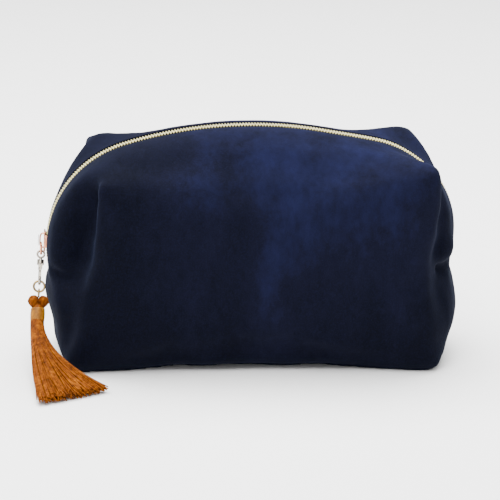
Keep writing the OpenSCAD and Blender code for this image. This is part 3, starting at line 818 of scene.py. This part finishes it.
def layer(name, mesh, side, depth, thickness, zip_edge, seam_edge, material, rim):
    """One fabric layer of one half, at depth under the bag's surface, with its own thickness."""
    bm = half_of(mesh, side, zip_edge, seam_edge)
    piece = piece_from(name, bm, material, tidy=False)
    if depth:
        set_coords(piece.data, swollen(coords(piece.data), vertex_normals(piece.data), -depth))
    wall = piece.modifiers.new("wall", "SOLIDIFY")
    wall.thickness = thickness
    wall.offset = -1
    if rim:
        soften = piece.modifiers.new("rolled_edge", "BEVEL")
        soften.width = thickness * 0.42
        soften.segments = 2
        soften.limit_method = "ANGLE"
        soften.angle_limit = math.radians(60)
    baked(piece)
    piece.data.shade_smooth()
    return piece


def follow_bag(piece):
    """Moves a piece of the zip with the bag's lean."""
    set_coords(piece.data, lean(coords(piece.data)))


def hinge_blend(piece):
    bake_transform(piece)


def soften_top(bag):
    """Rounds the faces' upper edges, where the fabric runs over without a crease."""
    co = coords(bag.data)
    across = np.abs(co[:, 1])
    share = smoothstep(0.022, 0.030, across) * smoothstep(0.086, 0.100, co[:, 2])
    share = share * (1 - smoothstep(0.076, 0.090, np.abs(co[:, 0])))
    group = bag.vertex_groups.new(name="top_edge")
    for i, value in enumerate(share):
        if value > 0.02:
            group.add([i], value, "REPLACE")
    smooth = bag.modifiers.new("round_off", "SMOOTH")
    smooth.vertex_group = "top_edge"
    smooth.factor = 0.6
    smooth.iterations = 26
    baked(bag)
    bag.vertex_groups.clear()


def make_layers(bag):
    soften_top(bag)
    rough = bag.data.copy()
    finer = bag.modifiers.new("finer", "SUBSURF")
    finer.levels = 1
    finer.render_levels = 1
    baked(bag)
    soft_folds(bag.data, 16)
    soft_folds(rough, 4)
    for side, word in ((-1, "front"), (1, "back")):
        panel = layer(
            word + "_velvet", bag.data, side, 0, VELVET_T, VELVET_EDGE, 0.00015, VELVET, True
        )
        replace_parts(panel, word + "_panel", word + "_flap_panel")
        foam = layer(
            word + "_foam", rough, side, FOAM_TOP, FOAM_T, TAPE_EDGE + 0.001, 0.0003, FOAM, False
        )
        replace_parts(foam, word + "_interlining", word + "_flap_interlining")
        inner = layer(
            word + "_twill", rough, side, LINING_TOP, LINING_T, VELVET_EDGE + 0.0006, 0.0003, LINING, False
        )
        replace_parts(inner, word + "_lining", word + "_flap_lining")
        for piece in (panel, foam, inner):
            hinge_blend(piece)
    make_bindings(rough)
    bpy.data.objects.remove(bag)


def band_strip(name, mesh, keep, depth):
    """A strip of bias binding on the lining: the part of the bag's surface whose faces keep() picks."""
    bm = bmesh.new()
    bm.from_mesh(mesh)
    gone = [f for f in bm.faces if not keep(f.calc_center_median())]
    bmesh.ops.delete(bm, geom=gone, context="FACES")
    for _ in range(3):
        bmesh.ops.smooth_vert(
            bm, verts=bm.verts, factor=0.5, use_axis_x=True, use_axis_y=True, use_axis_z=True,
        )
    strip = piece_from(name, bm, BINDING, tidy=False)
    set_coords(strip.data, swollen(coords(strip.data), vertex_normals(strip.data), -depth))
    wall = strip.modifiers.new("wall", "SOLIDIFY")
    wall.thickness = 0.0008
    wall.offset = -1
    finer = strip.modifiers.new("finer", "SUBSURF")
    finer.levels = 1
    finer.render_levels = 1
    baked(strip)
    strip.data.shade_smooth()
    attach(strip, "pouch")
    return strip


def make_bindings(mesh):
    depth = LINING_TOP + LINING_T + 0.0004

    def at_corner(c):
        return abs(c.x) > 0.084 and 0.0245 < abs(c.y) < 0.0315 and 0.017 < c.z < 0.088

    def at_end(c):
        return abs(c.x) > 0.084 and abs(c.y) < 0.0245 and SEAM_Z - 0.008 < c.z < SEAM_Z - 0.0015

    def at_base(c):
        return abs(c.x) < 0.083 and abs(c.y) < 0.0035 and c.z < 0.02

    for name, node, keep in (
        ("corner_bias_binding", "corner_bindings", at_corner),
        ("end_bias_binding", "end_bindings", at_end),
        ("base_bias_binding", "base_binding", at_base),
    ):
        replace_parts(band_strip(name, mesh, keep, depth), node)


make_layers(bag)


# ---- The zip ----
BEND_RUN = BEND_R * (BEND_TOP - BEND_START)
TOP_RUN = 2 * TOP_R * (math.pi / 2 - BEND_TOP)
ZIP_RUN = 2 * BEND_RUN + TOP_RUN


def zip_frame(s):
    """Where the zip is at length s from its left end: x, z and how far its face has turned from up."""
    if s < BEND_RUN:
        a = BEND_START + s / BEND_R
        return -(BEND_X + BEND_R * math.cos(a)), BEND_Z + BEND_R * math.sin(a), math.pi / 2 - a
    if s < BEND_RUN + TOP_RUN:
        a = (s - BEND_RUN - TOP_RUN / 2) / TOP_R
        return TOP_R * math.sin(a), TOP_CZ + TOP_R * math.cos(a), -a
    a = BEND_TOP - (s - BEND_RUN - TOP_RUN) / BEND_R
    return BEND_X + BEND_R * math.cos(a), BEND_Z + BEND_R * math.sin(a), a - math.pi / 2


def zip_matrix(s, depth):
    """Puts a part made along X, across Y and upwards on the zip, at length s and at depth
    under the velvet's face."""
    x, z, turn = zip_frame(s)
    spot = Vector((x + depth * math.sin(turn), 0, z - depth * math.cos(turn)))
    return Matrix.Translation(spot) @ Matrix.Rotation(-turn, 4, "Y")


def add_tooth(bm, matrix, side):
    """One turn of the coil: a round-ended bar that hooks past the middle and lies a little askew."""
    inner = -0.00075
    length = CHAIN_HALF - inner
    made = bmesh.ops.create_uvsphere(bm, u_segments=8, v_segments=5, radius=1)
    shape = Matrix.Diagonal((0.00050, length / 2, 0.00082, 1))
    turn = Matrix.Rotation(side * math.radians(9), 4, "Z")
    move = Matrix.Translation((0, side * (CHAIN_HALF + inner) / 2, 0))
    pole = Matrix.Rotation(math.radians(90), 4, "X")
    bmesh.ops.transform(bm, matrix=matrix @ move @ turn @ shape @ pole, verts=made["verts"])


def teeth_row(name, side):
    bm = bmesh.new()
    start, stop = 0.0042, ZIP_RUN - 0.0042
    count = int((stop - start) / TOOTH_PITCH)
    phase = 0.25 if side > 0 else -0.25
    for i in range(count):
        s = start + (i + 0.5 + phase) * TOOTH_PITCH
        add_tooth(bm, zip_matrix(s, TAPE_TOP - 0.00095), side)
    row = piece_from(name, bm, TEETH, tidy=False)
    return row


def tape_strip(name, side):
    """One woven tape, from under the velvet to the middle of the teeth."""
    rows = [0.0004, 0.0022, 0.0040, ZIP_FLAT, 0.0090, TAPE_EDGE]
    bm = bmesh.new()
    stations = ring_stations_on_zip()
    loops = []
    for y in rows:
        verts = [bm.verts.new(zip_tape_point(s, side, y)) for s in stations]
        loops.append([bm.edges.new((a, b)) for a, b in zip(verts, verts[1:])])
    for near, far in zip(loops, loops[1:]):
        bmesh.ops.bridge_loops(bm, edges=near + far)
    bmesh.ops.recalc_face_normals(bm, faces=bm.faces)
    strip = piece_from(name, bm, TAPE, tidy=False)
    wall = strip.modifiers.new("wall", "SOLIDIFY")
    wall.thickness = TAPE_T
    wall.offset = 0
    baked(strip)
    strip.data.shade_smooth()
    return strip


def ring_stations_on_zip():
    steps = 170
    return [ZIP_RUN * i / steps for i in range(steps + 1)]


def zip_tape_point(s, side, y):
    """A point of the tape, which dips under the velvet beside the teeth."""
    sink = max(0.0, (y - ZIP_FLAT)) * 0.10
    return zip_matrix(s, TAPE_TOP + TAPE_T / 2 + sink) @ Vector((0, side * y, 0))


def make_zip():
    for side, word in ((-1, "front"), (1, "back")):
        tape = tape_strip(word + "_zip_tape", side)
        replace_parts(tape, word + "_tape_ends", word + "_tape_top")
        row = teeth_row(word + "_zip_teeth", side)
        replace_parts(row, word + "_teeth_ends", word + "_teeth_top")
        for piece in (tape, row):
            follow_bag(piece)
            hinge_blend(piece)


make_zip()


def make_stops():
    """Staples crimped over both tapes at the ends of the teeth."""
    bm = bmesh.new()
    for s in (0.0016, ZIP_RUN - 0.0016):
        made = bmesh.ops.create_cube(bm, size=1)
        shape = Matrix.Diagonal((0.0022, 0.0054, 0.0017, 1))
        bmesh.ops.transform(bm, matrix=zip_matrix(s, TAPE_TOP - 0.0008) @ shape, verts=made["verts"])
    bmesh.ops.bevel(
        bm, geom=bm.edges[:], offset=0.0004, affect="EDGES", segments=3, profile=0.5, material=-1,
    )
    stops = piece_from("crimped_end_stops", bm, ROSE_GOLD)
    follow_bag(stops)
    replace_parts(stops, "end_stops")
    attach(stops, "pouch")


make_stops()


# ---- The line of hanging parts ----
LINK_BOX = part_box("puller_link")
LINK_WIRE = 0.0013
LINK_LEN = 0.0055
PIVOT = Vector(((LINK_BOX[0].x + LINK_BOX[1].x) / 2, 0, LINK_BOX[1].z - LINK_WIRE / 2))
HANG_LEAN = math.radians(30)
HANG_SIDE = math.radians(4)
EYE_LIFT = 0.00132
HEAD_H = 0.0075
WRAP_DROP = 0.03069
WRAP_LEN = 0.007
WRAP_R = 0.0038
SKIRT_DROP = 0.03769
SKIRT_GAP = 0.0014
SKIRT_W = 0.045
SKIRT_T = 0.0046


def chain_matrix(drop):
    """Puts a part made upright, with X to the right, on the leaning line at its drop under the link."""
    return (
        Matrix.Translation(PIVOT - UP * LINK_LEN)
        @ Matrix.Rotation(HANG_SIDE, 4, "Y")
        @ Matrix.Translation((0, 0, EYE_LIFT))
        @ Matrix.Rotation(-HANG_LEAN, 4, "X")
        @ Matrix.Translation((0, 0, -EYE_LIFT - drop))
    )


# ---- The slider and the puller's link ----
SLIDER_LEN = 0.011
SLIDER_W = 0.0086
PLATE_T = 0.0009
CROWN_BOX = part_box("slider_crown")


def on_bend(radius, turn=0.0):
    """Puts a part made along X, across Y and upwards on the left bend, at a radius from its centre.
    X points down the zip's end, and turn moves the part along the bend."""
    a = SLIDER_ANGLE + turn
    spot = Vector((-(BEND_X + radius * math.cos(a)), 0, BEND_Z + radius * math.sin(a)))
    return Matrix.Translation(spot) @ Matrix.Rotation(a - math.pi / 2, 4, "Y")


def slider_plate(matrix, length, wide, narrow, thick):
    """A slider plate: broad shoulders at one end and a narrow tail at the other, with rounded edges."""
    bm = bmesh.new()
    bmesh.ops.create_cube(bm, size=1, matrix=Matrix.Diagonal((length, wide, thick, 1)))
    long_edges = [e for e in bm.edges if abs((e.verts[0].co - e.verts[1].co).x) > length / 2]
    bmesh.ops.subdivide_edges(bm, edges=long_edges, cuts=5)
    for v in bm.verts:
        share = v.co.x / length + 0.5
        width = blended(narrow, wide, min(1, share * 1.9))
        if share > 0.9:
            width = wide * 0.72
        v.co.y *= width / wide
    rim = [e for e in bm.edges if e.calc_face_angle(0) > 0.6]
    bmesh.ops.bevel(
        bm, geom=rim, offset=thick * 0.34, affect="EDGES", segments=3, profile=0.5, material=-1,
    )
    bmesh.ops.recalc_face_normals(bm, faces=bm.faces)
    bmesh.ops.transform(bm, matrix=matrix, verts=bm.verts)
    return bm


def slider_block(matrix, size):
    """A small block with softened edges."""
    bm = bmesh.new()
    bmesh.ops.create_cube(bm, size=1, matrix=Matrix.Diagonal((*size, 1)))
    bmesh.ops.bevel(
        bm, geom=bm.edges[:], offset=min(size) * 0.25, affect="EDGES", segments=2, profile=0.5, material=-1,
    )
    bmesh.ops.transform(bm, matrix=matrix, verts=bm.verts)
    return bm


def blended(a, b, t):
    return a + (b - a) * t


def make_slider():
    top_r = BEND_R - TAPE_TOP + TOOTH_RISE + 0.00015 + PLATE_T / 2
    low_r = BEND_R - TAPE_TOP - TAPE_T - 0.00015 - PLATE_T / 2
    shapes = [
        slider_plate(on_bend(top_r), SLIDER_LEN, SLIDER_W, 0.0062, PLATE_T),
        slider_plate(on_bend(low_r), SLIDER_LEN - 0.001, SLIDER_W - 0.0006, 0.0060, PLATE_T),
        slider_block(on_bend((top_r + low_r) / 2), (SLIDER_LEN * 0.36, 0.0008, top_r - low_r)),
    ]
    for side in (-1, 1):
        flange = Matrix.Translation((0.0004, side * (SLIDER_W - 0.0008) / 2, 0))
        shapes.append(slider_block(on_bend(top_r - 0.0007) @ flange, (SLIDER_LEN * 0.62, 0.0006, 0.0016)))
    parts = [piece_from("slider_part", bm, ROSE_GOLD, tidy=False) for bm in shapes]
    body = joined("zip_slider", parts)
    edges = body.modifiers.new("crisp", "WEIGHTED_NORMAL")
    edges.keep_sharp = True
    baked(body)
    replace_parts(body, "slider_body")
    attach(body, "slider")


def make_crown():
    """A strap arched over the slider, through which the puller's link passes."""
    base_r = BEND_R - TAPE_TOP + TOOTH_RISE + 0.00015 + PLATE_T
    tall = -CROWN_BOX[0].x - BEND_X - base_r - 0.0001
    line = []
    half = SLIDER_LEN * 0.36
    for i in range(17):
        a = math.pi * i / 16
        flat = math.copysign(abs(math.cos(a)) ** 0.6, math.cos(a))
        high = (tall - 0.0004) * math.sin(a) ** 0.6 - 0.0002
        line.append(on_bend(base_r) @ Vector((half * flat, 0, high)))
    strap = curve_piece("slider_crown_strap", [line], 0.00042, ROSE_GOLD, sides=3)
    grown = coords(strap.data)
    grown[:, 1] *= 1.9
    set_coords(strap.data, grown)
    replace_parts(strap, "slider_crown")
    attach(strap, "slider")


def make_link():
    """A wire loop with rounded ends that hangs in the crown."""
    gap = 0.0026 / 2 + LINK_WIRE / 2
    line = []
    for upper in (1, -1):
        for i in range(13):
            a = math.pi * i / 12 if upper > 0 else math.pi * (1 + i / 12)
            flat = math.copysign(abs(math.cos(a)) ** 0.5, math.cos(a))
            lift = math.copysign(abs(math.sin(a)) ** 0.5, math.sin(a)) * 0.0012
            middle = 0 if upper > 0 else -LINK_LEN
            drop = -0.0012 if upper > 0 else 0.0012
            line.append(PIVOT + Vector((0, gap * flat, middle + drop + lift)))
    link = curve_piece("puller_wire_link", [line], LINK_WIRE / 2, ROSE_GOLD, closed=True, sides=3)
    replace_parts(link, "puller_link")
    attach(link, "puller")


make_slider()
make_crown()
make_link()


# ---- The tassel ----
def lobe_runs(side, count, size):
    """Threads over one lobe of the head, from its top down into the binding."""
    to_line = chain_matrix(WRAP_DROP)
    runs = []
    for j in range(count):
        around = ROUND * j / count
        run = []
        for i in range(13):
            down = math.pi * (0.06 + 0.94 * i / 12)
            out = size * math.sin(down) * (1 - 0.30 * smoothstep(2.0, 3.14, down))
            high = HEAD_H - 0.0035 + 0.0030 * math.cos(down) if down < math.pi / 2 else (
                (HEAD_H - 0.0035) * (1 - smoothstep(1.57, 3.14, down)))
            middle = side * (0.0026 - 0.0011 * smoothstep(0.4, 0.0, math.sin(down)))
            neck = smoothstep(1.9, 3.14, down)
            x = middle * (1 - 0.25 * neck) + out * math.cos(around)
            y = out * math.sin(around) * (1 + 0.18 * neck)
            ripple = 0.00022 * math.sin(5 * around + 4 * down)
            run.append(to_line @ Vector((x + ripple, y, high)))
        runs.append(run)
    return runs


def solid_core(name, shapes, material):
    """Round fills behind the threads: each shape is a radius, its stretch and its place."""
    bm = bmesh.new()
    for radius, stretch, matrix in shapes:
        made = bmesh.ops.create_uvsphere(bm, u_segments=16, v_segments=10, radius=radius)
        bmesh.ops.transform(bm, matrix=matrix @ Matrix.Diagonal((*stretch, 1)), verts=made["verts"])
    return piece_from(name, bm, material, tidy=False)


def make_head():
    runs = lobe_runs(-1, 26, 0.0027) + lobe_runs(1, 26, 0.0027)
    threads = curve_piece("head_threads", runs, 0.00034, THREAD, sides=1)
    high = HEAD_H - 0.0035
    fills = []
    for side in (-1, 1):
        place = chain_matrix(WRAP_DROP) @ Matrix.Translation((side * 0.0025, 0, high * 0.92))
        fills.append((0.0021, (1, 1, 1.1), place))
    fills.append((0.0029, (1, 1, 1.0), chain_matrix(WRAP_DROP)))
    core = solid_core("head_core", fills, THREAD)
    head = joined("tassel_head_threads", [threads, core])
    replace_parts(head, "tassel_head")
    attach(head, "tassel")


def make_wrap():
    turns = 14
    run = []
    for i in range(turns * 20 + 1):
        a = ROUND * i / 20
        z = WRAP_LEN * i / (turns * 20)
        swell = 0.00022 * math.sin(math.pi * z / WRAP_LEN)
        r = WRAP_R - 0.00034 + swell
        run.append(chain_matrix(SKIRT_DROP) @ Vector((r * math.cos(a), r * math.sin(a), z)))
    coil = curve_piece("wrap_coil", [run], 0.00031, WRAP, sides=1)
    bm = bmesh.new()
    made = bmesh.ops.create_cone(
        bm, cap_ends=True, segments=32, radius1=WRAP_R - 0.0005, radius2=WRAP_R - 0.0005, depth=WRAP_LEN,
    )
    middle = chain_matrix(SKIRT_DROP) @ Matrix.Translation((0, 0, WRAP_LEN / 2))
    bmesh.ops.transform(bm, matrix=middle, verts=made["verts"])
    core = piece_from("wrap_core", bm, WRAP)
    wrap = joined("tassel_wrap_thread", [coil, core])
    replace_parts(wrap, "tassel_binding")
    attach(wrap, "tassel")


SKIRT_FROM = chain_matrix(SKIRT_DROP - 0.0006) @ Vector((0, 0, 0))
SKIRT_LOW = chain_matrix(SKIRT_DROP + SKIRT_GAP) @ Vector((0, 0, 0))
SKIRT_REST = SKIRT_T / 2 + 0.0003
SKIRT_TO = Vector((SKIRT_LOW.x + 0.019, SKIRT_LOW.y - 0.056, SKIRT_REST))
SKIRT_TURN = Vector((SKIRT_LOW.x - 0.001, SKIRT_LOW.y - 0.014, SKIRT_LOW.z * 0.5))
FAN_WAY = Vector((0.88, 0.475, 0))


def skirt_point(t, a, b):
    """A point of the skirt at share t of its length, a across and b through its thickness."""
    middle = blended(blended(SKIRT_FROM, SKIRT_TURN, t), blended(SKIRT_TURN, SKIRT_TO, t), t)
    along = blended(SKIRT_TURN - SKIRT_FROM, SKIRT_TO - SKIRT_TURN, t).normalized()
    wide = blended(Vector((1, 0, 0)), FAN_WAY, t).normalized()
    up = wide.cross(along).normalized()
    half_w = blended(WRAP_R - 0.0003, SKIRT_W / 2, t ** 2.2)
    half_t = blended(WRAP_R - 0.0003, SKIRT_T / 2, t)
    return middle + wide * half_w * a + up * half_t * b


SKIRT_THREADS = 520
THREAD_R = 0.00034


def make_skirt():
    pick = random.Random(7)
    runs = []
    for _ in range(SKIRT_THREADS):
        far = math.sqrt(pick.uniform(0.02, 1)) * 0.97
        around = ROUND * pick.random()
        a0, b0 = far * math.cos(around), far * math.sin(around)
        end = pick.uniform(0.955, 1.0)
        sway = pick.uniform(-1, 1)
        lift = pick.uniform(-1, 1)
        run = []
        for i in range(15):
            t = end * i / 14
            bend = math.sin(math.pi * t)
            a = a0 + 0.05 * sway * bend + 0.03 * math.sin(9 * t + 6 * lift) * t
            b = b0 + 0.10 * lift * bend
            p = skirt_point(t, max(-1, min(1, a)), max(-1, min(1, b)))
            p.z = max(p.z, 0.00038)
            run.append(p)
        runs.append(run)
    skirt = curve_piece("tassel_skirt_threads", runs, THREAD_R, THREAD, sides=1)
    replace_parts(skirt, "tassel_skirt")
    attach(skirt, "tassel")


make_head()
make_wrap()
make_skirt()


# ---- CAD parts that stay, with their finishes ----
def finish_node(name, material):
    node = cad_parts[name]
    node.data.materials.clear()
    node.data.materials.append(material)


for part, material in (
    ("lock_spring", NICKEL), ("swivel_eye", NICKEL),
    ("clasp_hook", NICKEL), ("clasp_gate", NICKEL), ("gate_rivet", NICKEL), ("gate_spring", NICKEL),
    ("jump_ring", BRASS), ("tassel_loop", BRASS),
):
    finish_node(part, material)
